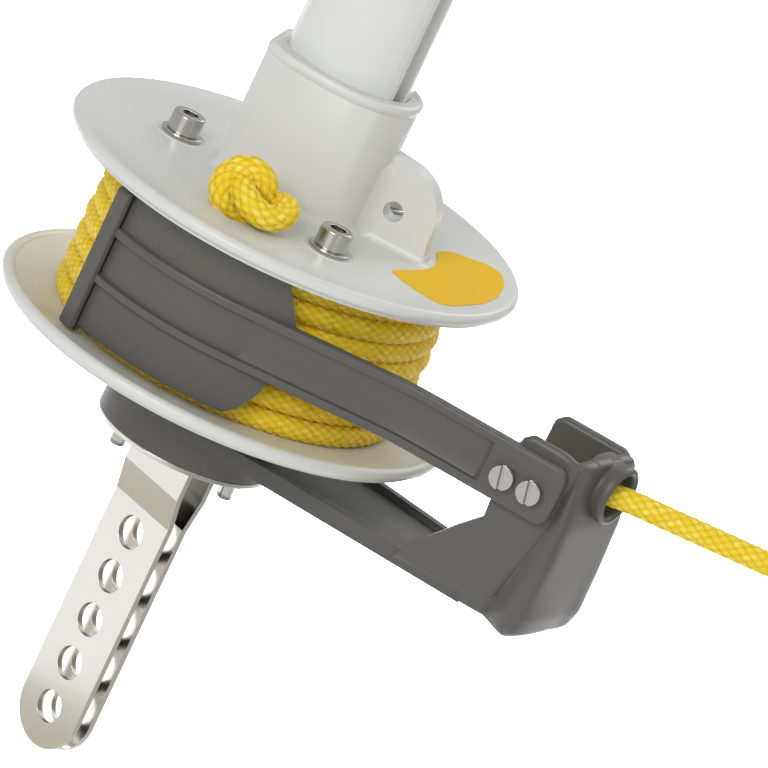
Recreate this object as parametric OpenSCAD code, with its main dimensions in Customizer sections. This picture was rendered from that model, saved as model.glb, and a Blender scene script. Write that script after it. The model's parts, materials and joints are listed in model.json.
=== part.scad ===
// Headsail furler drum for a small boat: rope drum on a ball-raced spindle, with its line
// guard, fairlead arm, adjusting fork, foil stub and furling line.
// Origin: axis of the lowest clevis hole. +Z runs up the stay, +X runs along the fairlead arm.

/* [Fork] */
// Number of clevis holes in the fork
hole_count = 5; // [3:1:6]
// Distance between neighbouring clevis holes
hole_pitch = 12.9; // [12:0.1:16]
// Diameter of the clevis holes
clevis_d = 8.6; // [6.4:0.1:10]
// Width of each fork plate
fork_w = 22; // [19:0.5:26]
// Thickness of each fork plate
plate_t = 1.6; // [1.2:0.1:2]
// Clear gap between the two fork plates
fork_gap = 3.4; // [3:0.1:4.4]
// Extra half gap of the joggled neck under the drum
neck_step = 1.7; // [1.5:0.1:2.5]
// Turn of the fork about the stay, from the fairlead arm
fork_yaw = -27; // [-60:1:0]

/* [Drum] */
// Diameter of both drum flanges
flange_d = 120; // [112:1:130]
// Thickness of the flange plates
flange_t = 3.6; // [3:0.1:4.2]
// Radius of the rounded bead on the flange rims
bead_r = 1.7; // [1.4:0.1:2]
// How far the lower flange rises from its hub to its rim
dish_rise = 2.4; // [1:0.1:3]
// Diameter of the hub that the line winds on
hub_d = 72.6; // [71:0.2:74]
// Height of the hub between the flanges
hub_h = 42.6; // [40:0.2:50]
// Turn of the drum at rest
drum_yaw = 6; // [0:1:12]

/* [Foil and socket] */
// Height of the foil socket above the drum's deck
socket_h = 34.5; // [28:0.5:42]
// Half width of the socket, and radius of its round end
socket_r = 16.5; // [16:0.1:18]
// Length of the foil stub
foil_l = 69; // [55:1:90]
// Diameter of the tack pin hole in the lug
tack_d = 5.2; // [4:0.1:6]
// Thickness of the tack lug
lug_t = 7; // [6:0.5:9]

/* [Bearings and spindle] */
// Outer diameter of the spindle tube
spindle_d = 12; // [11:0.5:12.5]
// Diameter of the bore that the stay passes through
stay_d = 6; // [4:0.2:6.4]
// Outer diameter of the ball races
race_d = 28; // [28:0.5:30]
// Width of the ball races
race_w = 8; // [7.5:0.1:9]
// Diameter of the bearing balls
ball_d = 4.76; // [4.5:0.02:4.8]
// Number of balls in each bearing
ball_count = 8; // [6:1:9]

/* [Base and fairlead] */
// Diameter of the round base under the drum
base_d = 46.6; // [44:0.2:50]
// Height of the round base
base_h = 17.5; // [16:0.1:20]
// Thickness of the steel head disc
disc_t = 1.4; // [1:0.1:2]
// Distance between the two base bolts
base_bolt_pitch = 30; // [29.4:0.2:31]
// Turn of the two base bolts about the stay
base_bolt_yaw = 9.5; // [6:0.5:14]
// Wall thickness of the fairlead box
wall_t = 3; // [2.6:0.1:3.4]
// Distance from the stay to the fairlead's outer end
fairlead_x = 107.2; // [102:0.2:120]
// Inside diameter of the fairlead eye
eye_d = 11.4; // [11:0.1:12.5]

/* [Guard] */
// Outer radius of the curved guard plate
guard_r = 51.5; // [50.5:0.1:53]
// Thickness of the guard plate
guard_t = 2.5; // [2:0.1:3]
// Height of the guard's arm
arm_h = 15.1; // [13:0.1:17]

/* [Furling line] */
// Diameter of the furling line
line_d = 6; // [5:0.1:6]
// Outer radius of the line wound on the drum
winding_r = 46.3; // [45:0.1:47]

/* [Hidden] */
$fn = 64;

// Heights above the lowest clevis hole
fork_straight = (hole_count - 1) * hole_pitch + 7.4;
joggle_h = 8.5;
neck_h = 11.1;
disc_z = fork_straight + joggle_h + neck_h;
base_z = disc_z + disc_t;
base_top = base_z + base_h;
flange_gap = 1.7;
low_z = base_top + flange_gap;
hub_z = low_z + flange_t;
hub_top = hub_z + hub_h;
deck_z = hub_top + flange_t;

// Fork
plate_in = fork_gap / 2;
neck_in = plate_in + neck_step;
tip_r = fork_w / 2;

// Flange rims
flange_r = flange_d / 2;
bead_c = flange_r - bead_r;
hub_r = hub_d / 2;
top_bead_z = deck_z - 1.05;
low_bead_z = hub_z + dish_rise - 1.1;
plate_edge = bead_c - 1.3;

// Base bolts, M4
m4_r = 2;
m4_hole_r = 2.2;
m4_flats = 7;
m4_nut_h = 3.2;
base_head_sink = 5;
base_thread_end = 6.6;

// Flange screws, M5
screw_pcr = 33;
screw_angles = [180, -60, 60];
m5_r = 2.5;
m5_hole_r = 2.75;
washer_t = 1;
thin_nut_flats = 8;
thin_nut_h = 2.5;

// Bearings
spindle_r = spindle_d / 2;
race_r = race_d / 2;
ball_r = ball_d / 2;
ball_pitch_r = (spindle_r + race_r) / 2;
groove_r = ball_r + 0.05;
land_gap = 1.6;
collar_r = spindle_r + 2;
low_race_z = hub_z + 1.3;
up_race_z = hub_top - race_w - 2.6;
spindle_top = up_race_z + race_w + 2.4;

// Foil section, with its round nose at -X of the drum
foil_fit = 0.15;
nose_x = -18.2;
foil_z = deck_z + 2;
socket_top = deck_z + socket_h;
stay_hole_r = 4.6;

// Tack lug, measured from the drum's axis and deck
lug_x = 22;
lug_z = deck_z + 8.8;
lug_r = 12.2;
tack_x = 23.4;
tack_z = deck_z + 8.7;

// Base, arm floor and fairlead box
base_r = base_d / 2;
arm_z = base_z + 7;
floor_t = 2.6;
lip_h = 4.3;
box_near = -37;
box_far = -8.6;
box_x = 86;
box_top = base_z + 57;
panel_z = arm_z + 30;
box_corner_r = 10;
eye_yaw = -11;
eye_x = fairlead_x + 2.6;
eye_y = -21.5;
eye_z = deck_z - 19.9;
eye_wall = 1.9;
eye_l = 6;
eye_flare = 1.7;

// Guard and its arm
guard_low = hub_z + 3.4;
guard_top = hub_top - 1.1;
guard_from = -121.5;
guard_to = -66;
bar_from = -123.9;
bar_to = -118.7;
bar_r = guard_r + 2.2;
arm_z0 = eye_z - 10.3;
arm_z1 = arm_z0 + arm_h;
arm_y = box_near - 3;
arm_end = fairlead_x - 7.7;
guard_screw_x = [arm_end - 14.1, arm_end - 6.6];
guard_screw_z = eye_z - 3.7;
guard_screw_r = 1.75;

// Furling line: hand-placed route from the winding, through the eye, to its knot
line_r = line_d / 2;
line_path = [[8.8, -42, 118.5], [29, -37.8, 120.6], [49, -33.7, 122.7], [69, -29.5, 124.8],
             [89, -25.3, 126.9], [109.5, -21, 129.1], [122, -18.4, 129.6],
             [134, -15.9, 130], [146, -13.4, 130.4], [158, -10.9, 130.8]];
exit_z = line_path[0][2];
band_z = exit_z + 1.1;
band_half = line_r + 1.8;
band_r = winding_r - line_d - 0.4;
knot_x = -2;
knot_y = -hub_r - line_r - 0.8;
winding_top = hub_top - 0.5;

function arc(cx, cy, r, a0, a1, n) =
    [for (i = [0:n]) let(a = a0 + (a1 - a0) * i / n) [cx + r * cos(a), cy + r * sin(a)]];
function mirrored(pts) = concat(pts, [for (i = [len(pts) - 1:-1:0]) [pts[i][0], -pts[i][1]]]);

// A ring with a plain rectangular section
module ring(r_in, r_out, z0, z1) {
    difference() {
        translate([0, 0, z0]) cylinder(r = r_out, h = z1 - z0);
        translate([0, 0, z0 - 1]) cylinder(r = r_in, h = z1 - z0 + 2);
    }
}

// A torus about the Z axis
module torus(r, tube, z) {
    translate([0, 0, z]) rotate_extrude() translate([r, 0]) circle(r = tube);
}

// A hexagonal nut with a round bore, its lower face at z = 0
module hex_nut(across, bore, h) {
    difference() {
        cylinder(r = across / sqrt(3), h = h, $fn = 6);
        translate([0, 0, -1]) cylinder(r = bore, h = h + 2);
    }
}

// Places children at the three flange screws
module at_flange_screws() {
    for (a = screw_angles)
        rotate(drum_yaw + a) translate([screw_pcr, 0, 0]) children();
}

// Places children at the two base bolts, with +X along the fork plates' width
module at_base_bolts() {
    for (s = [-1, 1])
        rotate(base_bolt_yaw) translate([s * base_bolt_pitch / 2, 0, 0])
            rotate(fork_yaw - base_bolt_yaw) children();
}

// Children drawn in the X-Z plane, with their thickness from y0 towards +Y
module upright(y0, t) {
    translate([0, y0 + t, 0]) rotate([90, 0, 0]) linear_extrude(t) children();
}

// ---- Fork and head ----

// Side view of one plate: straight leg, joggle and neck, thickness outwards
module plate_profile() {
    a = [plate_in, -tip_r - 1];
    b = [plate_in, fork_straight];
    c = [neck_in, fork_straight + joggle_h];
    d = [neck_in, disc_z];
    polygon([a, [a[0] + plate_t, a[1]], [b[0] + plate_t, b[1] - 0.3], [c[0] + plate_t, c[1] - 0.3],
             [d[0] + plate_t, d[1]], d, c, b]);
}

// One fork plate, standing off the stay axis towards -Y
module fork_plate() {
    difference() {
        intersection() {
            translate([-tip_r, 0, 0]) rotate([90, 0, 90]) linear_extrude(fork_w)
                mirror([1, 0]) plate_profile();
            union() {
                translate([0, 20, 0]) rotate([90, 0, 0]) cylinder(r = tip_r, h = 40, $fn = 96);
                translate([-tip_r, -20, 0]) cube([fork_w, 40, disc_z]);
            }
        }
        for (i = [0:hole_count - 1])
            translate([0, 20, i * hole_pitch]) rotate([90, 0, 0]) cylinder(d = clevis_d, h = 40);
    }
}

module fork_front_plate() {
    color("silver") rotate(fork_yaw) fork_plate();
}

module fork_rear_plate() {
    color("silver") rotate(fork_yaw + 180) fork_plate();
}

// Steel disc under the base, welded to the fork and carrying the spindle
module head_disc() {
    color("silver") difference() {
        translate([0, 0, disc_z]) cylinder(r = base_r, h = disc_t, $fn = 96);
        translate([0, 0, disc_z - 1]) cylinder(d = stay_d, h = disc_t + 2);
        at_base_bolts() translate([0, 0, disc_z - 1]) cylinder(r = m4_hole_r, h = disc_t + 2);
    }
}

// Tube that both bearings sit on, with a collar that carries the lower race
module spindle() {
    color("silver") difference() {
        union() {
            translate([0, 0, base_z]) cylinder(r = spindle_r, h = spindle_top - base_z);
            translate([0, 0, base_top]) cylinder(r = collar_r, h = low_race_z - base_top);
        }
        translate([0, 0, base_z - 1]) cylinder(d = stay_d, h = spindle_top - base_z + 2);
        circlip_groove();
    }
}

module circlip_groove() {
    z = up_race_z + race_w;
    ring(spindle_r - 0.5, spindle_r + 1, z + 0.1, z + 1.3);
}

// ---- Base moulding ----

// Plan of the arm: tangent to the round base, narrowing towards the fairlead
module arm_plan(inset) {
    polygon([[0, -base_r + inset], [30, -base_r + inset], [box_x + 12, box_near + 10.5 + inset],
             [box_x + 12, -1 - inset], [5.5, base_r * 0.972 - inset], [0, base_r - inset]]);
}

// Section of the fairlead box across the arm; the near side leans out below the guard's pad
module box_section(inset) {
    far = box_far - inset;
    near = box_near + inset;
    low = box_near + 10.5;
    polygon([[low + 2.5 + inset, arm_z + inset], [far - 3, arm_z + inset], [far, arm_z + 3 + inset],
             [far, box_top + 1], [near, box_top + 1], [near, panel_z], [low + inset, arm_z + 3 + inset]]);
}

// Side view of the box, with its round lower outer corner
module box_side(inset) {
    r = box_corner_r - inset;
    x1 = fairlead_x + 2;
    cx = x1 - box_corner_r;
    cz = arm_z + box_corner_r;
    polygon(concat([[box_x - 3 * inset, arm_z + inset]], arc(cx, cz, r, -90, 0, 8),
                   [[x1 - inset, box_top + inset], [box_x - 3 * inset, box_top + inset]]));
}

// Plan of the box: its outer end is set askew so that the eye faces along the line's lead
module box_plan(inset) {
    skew = tan(eye_yaw);
    x_far = fairlead_x - inset;
    polygon([[box_x - 30, box_near - 5], [x_far + (box_near - 5 - box_far) * -skew, box_near - 5],
             [x_far + 1, box_far + 5], [box_x - 30, box_far + 5]]);
}

module box_form(inset) {
    intersection() {
        translate([box_x - 12, 0, 0]) rotate([90, 0, 90]) linear_extrude(60) box_section(inset);
        upright(box_near - 5, 60) box_side(inset);
        translate([0, 0, arm_z - 5]) linear_extrude(box_top - arm_z + 10) box_plan(inset);
    }
}

// Near wall of the box carried down to the arm as a sloping gusset
module gusset() {
    intersection() {
        translate([box_x - 32, 0, 0]) rotate([90, 0, 90]) linear_extrude(34)
            difference() {
                box_section(0);
                box_section(wall_t);
            }
        upright(box_near - 1, 14.5)
            polygon([[box_x - 20, arm_z], [box_x - 17.5, arm_z + 6.5], [box_x - 7.5, arm_z + 19],
                     [box_x - 1.6, arm_z + 25.5], [box_x - 1.6, box_top - 3.5],
                     [box_x + 0.6, box_top - 0.6], [box_x + 1, box_top], [box_x + 1, arm_z]]);
    }
}

// Places children at the eye, +Z out of it along the line's lead
module at_eye() {
    translate([eye_x, eye_y, eye_z]) rotate([0, 90, eye_yaw]) children();
}

module guard_screw_holes(r, y0, l) {
    for (x = guard_screw_x)
        translate([x, y0, guard_screw_z]) rotate([-90, 0, 0]) cylinder(r = r, h = l);
}

module base_moulding() {
    color("dimgray") difference() {
        union() {
            translate([0, 0, base_z]) cylinder(r = base_r, h = base_h, $fn = 96);
            difference() {
                translate([0, 0, arm_z]) linear_extrude(lip_h) arm_plan(0);
                translate([0, 0, arm_z + floor_t]) linear_extrude(lip_h) arm_plan(2.4);
            }
            difference() {
                box_form(0);
                box_form(wall_t);
            }
            gusset();
            at_eye() translate([0, 0, -eye_l]) cylinder(r = eye_d / 2 + eye_wall, h = eye_l - 1);
            at_eye() torus(eye_d / 2 + 0.95, 0.95, -1);
        }
        at_eye() translate([0, 0, -eye_l - wall_t - 1]) {
            cylinder(d = eye_d, h = eye_l + wall_t + 3);
            cylinder(r1 = eye_d / 2 + eye_flare, r2 = eye_d / 2 - 0.1, h = eye_l);
        }
        translate([0, 0, base_z - 1]) cylinder(r = spindle_r + 0.05, h = base_h + 2);
        at_base_bolts() {
            translate([0, 0, base_z - 1]) cylinder(r = m4_hole_r, h = base_h + 2);
            translate([0, 0, base_top - base_head_sink]) cylinder(r = m4_flats / sqrt(3) + 0.4, h = 6);
        }
        guard_screw_holes(guard_screw_r + 0.1, box_near - 1, wall_t + 2);
    }
}

module base_bolts() {
    z0 = disc_z - washer_t - base_thread_end;
    head_z = base_top - base_head_sink;
    color("silver") at_base_bolts() {
        translate([0, 0, z0]) cylinder(r = m4_r, h = head_z - z0);
        translate([0, 0, head_z]) cylinder(r = m4_flats / sqrt(3), h = 2.8, $fn = 6);
    }
}

module base_washers() {
    color("silver") at_base_bolts() ring(m4_hole_r, 3.8, disc_z - washer_t, disc_z);
}

module base_nuts() {
    color("silver") at_base_bolts() translate([0, 0, disc_z - washer_t - m4_nut_h])
        hex_nut(m4_flats, m4_r, m4_nut_h);
}

// ---- Bearings ----

// Half of a ball race between r_in and r_out, with the ball track cut in it
module race(r_in, r_out, z) {
    difference() {
        ring(r_in, r_out, z, z + race_w);
        torus(ball_pitch_r, groove_r, z + race_w / 2);
    }
}

module inner_race(z) {
    race(spindle_r, ball_pitch_r - land_gap, z);
}

module outer_race(z) {
    race(ball_pitch_r + land_gap, race_r, z);
}

module balls(z) {
    for (i = [0:ball_count - 1])
        rotate(i * 360 / ball_count) translate([ball_pitch_r, 0, z + race_w / 2])
            sphere(r = ball_r, $fn = 24);
}

// Crown cage: a ring with a pocket round each ball
module cage(z) {
    mid = z + race_w / 2;
    difference() {
        ring(ball_pitch_r - 1.1, ball_pitch_r + 1.1, mid - 2.9, mid + 1.2);
        for (i = [0:ball_count - 1])
            rotate(i * 360 / ball_count) translate([ball_pitch_r, 0, mid]) sphere(r = ball_r + 0.1);
    }
}

module lower_inner_race() {
    color("lightsteelblue") inner_race(low_race_z);
}

module upper_inner_race() {
    color("lightsteelblue") inner_race(up_race_z);
}

module lower_outer_race() {
    color("lightsteelblue") outer_race(low_race_z);
}

module upper_outer_race() {
    color("lightsteelblue") outer_race(up_race_z);
}

module lower_bearing_balls() {
    color("white") balls(low_race_z);
}

module upper_bearing_balls() {
    color("white") balls(up_race_z);
}

module lower_ball_cage() {
    color("tan") cage(low_race_z);
}

module upper_ball_cage() {
    color("tan") cage(up_race_z);
}

module bearing_spacer() {
    color("silver") ring(spindle_r, spindle_r + 1.6, low_race_z + race_w, up_race_z);
}

module spindle_circlip() {
    z = up_race_z + race_w;
    color("gray") difference() {
        ring(spindle_r - 0.45, spindle_r + 1.9, z + 0.15, z + 1.15);
        translate([0, -1.2, z - 1]) cube([spindle_r + 5, 2.4, 4]);
    }
}

// ---- Guard ----

// Cuts that slope the guard plate's free end above and below the arm
module guard_end_cuts() {
    rotate(guard_to) translate([guard_r - 8, 0, 0]) rotate([90, 0, 90]) linear_extrude(16) {
        polygon([[-5.2, guard_top + 1], [2.2, arm_z1 - 0.4], [9, arm_z1 - 0.4], [9, guard_top + 1]]);
        polygon([[-3.4, guard_low - 1], [-2, guard_low + 2], [3, arm_z0 + 0.4], [9, arm_z0 + 0.4],
                 [9, guard_low - 1]]);
    }
}

// Plan of the guard's arm: leaves the plate nearly tangent, then lies along the box wall
module guard_arm_plan(outer, inner) {
    polygon([[12.5, -50 - outer + 3], [55, arm_y - outer + 3], [arm_end, arm_y - outer + 3],
             [arm_end, arm_y + inner], [55.5, arm_y + inner], [13, -50 + inner]]);
}

module curved_rib(z0, z1) {
    rotate([0, 0, guard_from]) rotate_extrude(angle = guard_to - 8 - guard_from)
        polygon([[guard_r - 1, z0], [guard_r + 1.6, z0 + 0.3], [guard_r + 1.6, z1 - 0.3],
                 [guard_r - 1, z1]]);
}

module line_guard() {
    rim = 2.2;
    color("dimgray") difference() {
        union() {
            difference() {
                rotate([0, 0, guard_from]) rotate_extrude(angle = guard_to + 6 - guard_from, $fn = 128)
                    translate([guard_r - guard_t, guard_low])
                        square([guard_t, guard_top - guard_low]);
                guard_end_cuts();
            }
            rotate([0, 0, bar_from]) rotate_extrude(angle = bar_to - bar_from, $fn = 128)
                translate([guard_r - 1.2, guard_low - 1])
                    square([bar_r - guard_r + 1.2, guard_top - guard_low - 0.8]);
            curved_rib(arm_z1 - rim, arm_z1);
            curved_rib(arm_z0, arm_z0 + rim);
            translate([0, 0, arm_z0]) linear_extrude(arm_h) guard_arm_plan(3, 3);
        }
        translate([0, 0, arm_z0 + rim]) linear_extrude(arm_h - 2 * rim)
            polygon([[20, -60], [arm_end - 20, -60], [arm_end - 20, arm_y + 1.3], [55.2, arm_y + 1.3],
                     [20, -46.9]]);
        guard_screw_holes(guard_screw_r + 0.1, arm_y - 1, 5);
    }
}

// Slotted cheese-head screws through the guard's pad and the box wall
module guard_screws() {
    head_h = 2.1;
    color("silver") for (x = guard_screw_x) translate([x, arm_y, guard_screw_z])
        difference() {
            union() {
                translate([0, -head_h, 0]) rotate([-90, 0, 0]) cylinder(r = 3.1, h = head_h);
                rotate([-90, 0, 0]) cylinder(r = guard_screw_r, h = 9);
            }
            rotate([0, -12, 0]) translate([-0.5, -head_h - 1, -5]) cube([1, 2, 10]);
        }
}

module guard_nuts() {
    color("silver") for (x = guard_screw_x)
        translate([x, box_near + wall_t, guard_screw_z]) rotate([-90, 0, 0]) hex_nut(6, guard_screw_r, 2.8);
}

// ---- Drum ----

module lower_flange() {
    color("whitesmoke") difference() {
        union() {
            rotate_extrude($fn = 128)
                polygon([[collar_r + 1, low_z], [hub_r, low_z], [plate_edge + 1, low_z + dish_rise],
                         [plate_edge + 1, hub_z + dish_rise], [hub_r, hub_z], [collar_r + 1, hub_z]]);
            rotate_extrude($fn = 128) translate([bead_c, low_bead_z]) circle(r = bead_r, $fn = 32);
        }
        at_flange_screws() {
            translate([0, 0, low_z - 1]) cylinder(r = m5_hole_r, h = flange_t + 2);
            translate([0, 0, low_z - 1]) cylinder(r = thin_nut_flats / sqrt(3) + 0.3, h = thin_nut_h + 1.1);
        }
    }
}

// Hub that clamps between the flanges and holds both outer races
module drum_hub() {
    low_pocket = low_race_z + race_w;
    color("whitesmoke") difference() {
        ring(race_r - 2, hub_r, hub_z, hub_top);
        translate([0, 0, hub_z - 1]) cylinder(r = race_r, h = low_pocket - hub_z + 1);
        translate([0, 0, up_race_z]) cylinder(r = race_r, h = hub_top - up_race_z + 1);
        at_flange_screws() translate([0, 0, hub_z - 1]) cylinder(r = m5_hole_r, h = hub_h + 2);
    }
}

// Upright form of the line's dead end, which comes up beside the hub
module line_feed(r, z0, z1) {
    translate([knot_x, knot_y, z0]) cylinder(r = r, h = z1 - z0);
}

// Outline of the foil socket: round towards the lug, faceted at the nose
module socket_plan(inset) {
    r = socket_r - inset;
    polygon(mirrored(concat(arc(1.5, 0, r, 0, 90, 14),
                            [[-6, r - 0.6], [-14.5 + inset * 0.4, r - 2.6],
                             [nose_x - 3 + inset, r - 8]])));
}

// Outline of the foil: flat nose, bowed sides and a tail that holds the luff groove
module foil_plan(off) {
    side = concat([[14.4 + off, 3.2], [11.2 + off, 7.4 + off]],
                  [for (a = [36:9:126]) [15.3 * cos(a) - 1 + off * cos(a), (12.6 + off) * sin(a)]],
                  [[nose_x + 2.6 - off, 7.4 + off], [nose_x - off, 3.2]]);
    polygon(mirrored(side));
}

// Side view of the tack lug with its round top
module lug_side() {
    polygon(concat([[8, deck_z - 1], [lug_x + lug_r + 1.4, deck_z - 1], [lug_x + lug_r + 0.9, deck_z + 1.2],
                    [lug_x + lug_r + 0.1, deck_z + 5]],
                   arc(lug_x, lug_z, lug_r, 0, 84, 12), [[8, deck_z + 22.5]]));
}

module top_flange() {
    color("whitesmoke") difference() {
        union() {
            rotate_extrude($fn = 128)
                polygon([[stay_hole_r, hub_top], [plate_edge + 1, hub_top],
                         [plate_edge + 1, deck_z - 0.4], [plate_edge - 3, deck_z],
                         [stay_hole_r, deck_z]]);
            rotate_extrude($fn = 128) translate([bead_c, top_bead_z]) circle(r = bead_r - 0.05, $fn = 32);
            rotate(drum_yaw) {
                translate([0, 0, deck_z - 1]) linear_extrude(socket_h - 0.5) socket_plan(0);
                translate([0, 0, deck_z]) linear_extrude(socket_h) socket_plan(1);
                upright(-lug_t / 2, lug_t) lug_side();
            }
        }
        rotate(drum_yaw) {
            translate([0, 0, foil_z]) linear_extrude(socket_h) foil_plan(foil_fit);
            translate([tack_x, 20, tack_z]) rotate([90, 0, 0]) cylinder(d = tack_d, h = 40);
            clamp_screw_form(m5_r + 0.05, 6);
        }
        translate([0, 0, hub_top - 1]) cylinder(r = stay_hole_r, h = flange_t + 5);
        at_flange_screws() translate([0, 0, hub_top - 1]) cylinder(r = m5_hole_r, h = flange_t + 2);
        line_feed(line_r + 0.4, hub_top - 1, deck_z + 1);
    }
}

// M5 socket cap screws, heads up
module flange_screws() {
    head_z = deck_z + washer_t;
    color("silver") at_flange_screws() difference() {
        union() {
            translate([0, 0, low_z]) cylinder(r = m5_r, h = head_z - low_z);
            translate([0, 0, head_z]) cylinder(r = 4.2, h = 4.5);
            translate([0, 0, head_z + 4.5]) cylinder(r1 = 4.2, r2 = 3.8, h = 0.5);
        }
        translate([0, 0, head_z + 2.4]) cylinder(r = 4 / sqrt(3), h = 4, $fn = 6);
    }
}

module flange_washers() {
    color("silver") at_flange_screws() ring(m5_hole_r, 5.4, deck_z, deck_z + washer_t);
}

// Thin nuts, sunk flush into the lower flange
module flange_nuts() {
    color("silver") at_flange_screws() translate([0, 0, low_z + 0.1])
        hex_nut(thin_nut_flats, m5_r, thin_nut_h);
}

// Extruded foil stub with a round stay tube and a luff groove on each side of its tail
module foil() {
    groove_x = 12;
    groove_y = 4.3;
    color("white") rotate(drum_yaw) translate([0, 0, foil_z]) difference() {
        linear_extrude(foil_l) foil_plan(0);
        translate([0, 0, -1]) linear_extrude(foil_l + 2) difference() {
            foil_plan(-1.5);
            circle(r = 6.4);
            translate([-1.4, -20]) square([30, 40]);
        }
        translate([0, 0, -1]) cylinder(r = 5, h = foil_l + 2);
        for (s = [-1, 1]) translate([groove_x, s * groove_y, -1]) {
            cylinder(r = 2.1, h = foil_l + 2);
            rotate(s * 62) translate([0, -0.8, 0]) cube([8, 1.6, foil_l + 2]);
        }
    }
}

// Round form along -X through the socket's nose, for the grub screw and its hole
module clamp_screw_form(r, l) {
    translate([nose_x - foil_fit, 0, deck_z + 19]) rotate([0, -90, 0]) cylinder(r = r, h = l);
}

module foil_clamp_screw() {
    color("silver") rotate(drum_yaw) difference() {
        translate([foil_fit, 0, 0]) clamp_screw_form(m5_r, 2.8);
        translate([nose_x - 1.3, 0, deck_z + 19]) rotate([0, -90, 0])
            cylinder(r = 2.5 / sqrt(3), h = 5, $fn = 6);
    }
}

// Printed size label on the deck, round the foot of the lug
module size_sticker() {
    sticker_r0 = hub_r + 0.4;
    sticker_r1 = flange_r - 4.8;
    from = -31;
    to = 27;
    color("gold") rotate(drum_yaw) translate([0, 0, deck_z]) linear_extrude(0.25) difference() {
        polygon(concat(arc(0, 0, sticker_r1, from, to, 24), arc(0, 0, sticker_r0, to, from, 18)));
        translate([35.2, 0]) circle(r = 5.4);
    }
}

// ---- Furling line ----

// Line wound on the hub: full layers, with a lower band where the line leaves the drum
module line_winding() {
    color("gold") rotate_extrude($fn = 128)
        polygon([[hub_r + 0.05, hub_z + 0.5], [winding_r - 1.2, hub_z + 1.2], [winding_r, hub_z + 3],
                 [winding_r, band_z - band_half], [band_r, band_z - band_half],
                 [band_r, band_z + band_half], [winding_r, band_z + band_half],
                 [winding_r, hub_top - 2], [winding_r - 1.2, winding_top], [hub_r + 0.05, winding_top]]);
}

// Overhand stopper knot on the deck and the dead end that passes down to the winding
module start_knot() {
    color("gold") {
        line_feed(line_r, winding_top, deck_z + 5);
        translate([knot_x - 2, knot_y + 1.5, deck_z + 7.2]) rotate([62, 0, 30])
            rotate_extrude() translate([4.4, 0]) circle(r = line_r, $fn = 32);
        translate([knot_x + 4.5, knot_y, deck_z + 6.6]) rotate([40, 60, 0])
            rotate_extrude() translate([3.4, 0]) circle(r = line_r, $fn = 32);
    }
}

// Ring of a tube of radius r at point p, square to direction d
function tube_ring(p, d, r, sides) =
    let(w = d / norm(d), u = cross(w, [0, 0, 1]) / norm(cross(w, [0, 0, 1])), v = cross(u, w))
    [for (k = [0:sides - 1]) p + r * cos(360 * k / sides) * u + r * sin(360 * k / sides) * v];

// One closed tube swept along a list of points
module tube(path, r, sides) {
    last = len(path) - 1;
    rings = [for (i = [0:last])
             tube_ring(path[i], path[min(i + 1, last)] - path[max(i - 1, 0)], r, sides)];
    points = [for (ring = rings) for (p = ring) p];
    sides_faces = [for (i = [0:last - 1]) for (k = [0:sides - 1])
                   let(k2 = (k + 1) % sides)
                   [i * sides + k, i * sides + k2, (i + 1) * sides + k2, (i + 1) * sides + k]];
    caps = [[for (k = [sides - 1:-1:0]) k], [for (k = [0:sides - 1]) last * sides + k]];
    polyhedron(points, concat(sides_faces, caps));
}

module furling_line() {
    color("gold") tube(line_path, line_r, 12);
}

// Stopper knot at the free end of the line
module end_knot() {
    n = len(line_path);
    p = line_path[n - 1];
    d = p - line_path[n - 2];
    color("gold") translate(p) rotate([0, -atan2(d[2], norm([d[0], d[1]])), atan2(d[1], d[0])]) {
        translate([4.6, 0, 0]) rotate([0, 75, 0])
            rotate_extrude() translate([3.6, 0]) circle(r = line_r, $fn = 32);
        translate([8.4, 0, 0]) rotate([70, 20, 0])
            rotate_extrude() translate([3.2, 0]) circle(r = line_r, $fn = 32);
        rotate([0, 90, 0]) cylinder(r = line_r, h = 16);
    }
}

fork_front_plate();
fork_rear_plate();
head_disc();
spindle();
base_moulding();
base_bolts();
base_washers();
base_nuts();
lower_inner_race();
bearing_spacer();
upper_inner_race();
spindle_circlip();
line_guard();
guard_screws();
guard_nuts();
lower_flange();
drum_hub();
top_flange();
flange_screws();
flange_washers();
flange_nuts();
lower_outer_race();
upper_outer_race();
lower_bearing_balls();
upper_bearing_balls();
lower_ball_cage();
upper_ball_cage();
foil();
foil_clamp_screw();
size_sticker();
line_winding();
start_knot();
furling_line();
end_knot();
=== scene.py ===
import json
import math

import bmesh
import bpy
import numpy as np
from mathutils import Matrix, Vector

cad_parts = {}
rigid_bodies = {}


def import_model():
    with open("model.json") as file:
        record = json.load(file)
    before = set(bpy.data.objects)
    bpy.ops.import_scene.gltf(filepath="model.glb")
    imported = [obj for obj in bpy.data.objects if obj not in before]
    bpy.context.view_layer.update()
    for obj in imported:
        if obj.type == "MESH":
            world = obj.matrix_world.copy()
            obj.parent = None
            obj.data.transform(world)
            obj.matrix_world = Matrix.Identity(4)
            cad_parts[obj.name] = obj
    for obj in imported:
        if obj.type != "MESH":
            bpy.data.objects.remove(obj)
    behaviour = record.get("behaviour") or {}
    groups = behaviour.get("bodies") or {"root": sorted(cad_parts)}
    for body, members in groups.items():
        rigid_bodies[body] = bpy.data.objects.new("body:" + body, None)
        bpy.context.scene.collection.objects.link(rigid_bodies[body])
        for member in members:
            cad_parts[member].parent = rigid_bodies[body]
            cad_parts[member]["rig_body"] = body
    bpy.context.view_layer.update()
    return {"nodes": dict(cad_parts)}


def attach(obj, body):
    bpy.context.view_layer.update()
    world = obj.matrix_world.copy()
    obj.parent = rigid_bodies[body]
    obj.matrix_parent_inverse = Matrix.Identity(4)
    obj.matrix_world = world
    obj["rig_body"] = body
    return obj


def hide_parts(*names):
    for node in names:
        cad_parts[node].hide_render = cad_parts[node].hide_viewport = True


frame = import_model()
nodes = frame["nodes"]

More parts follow.
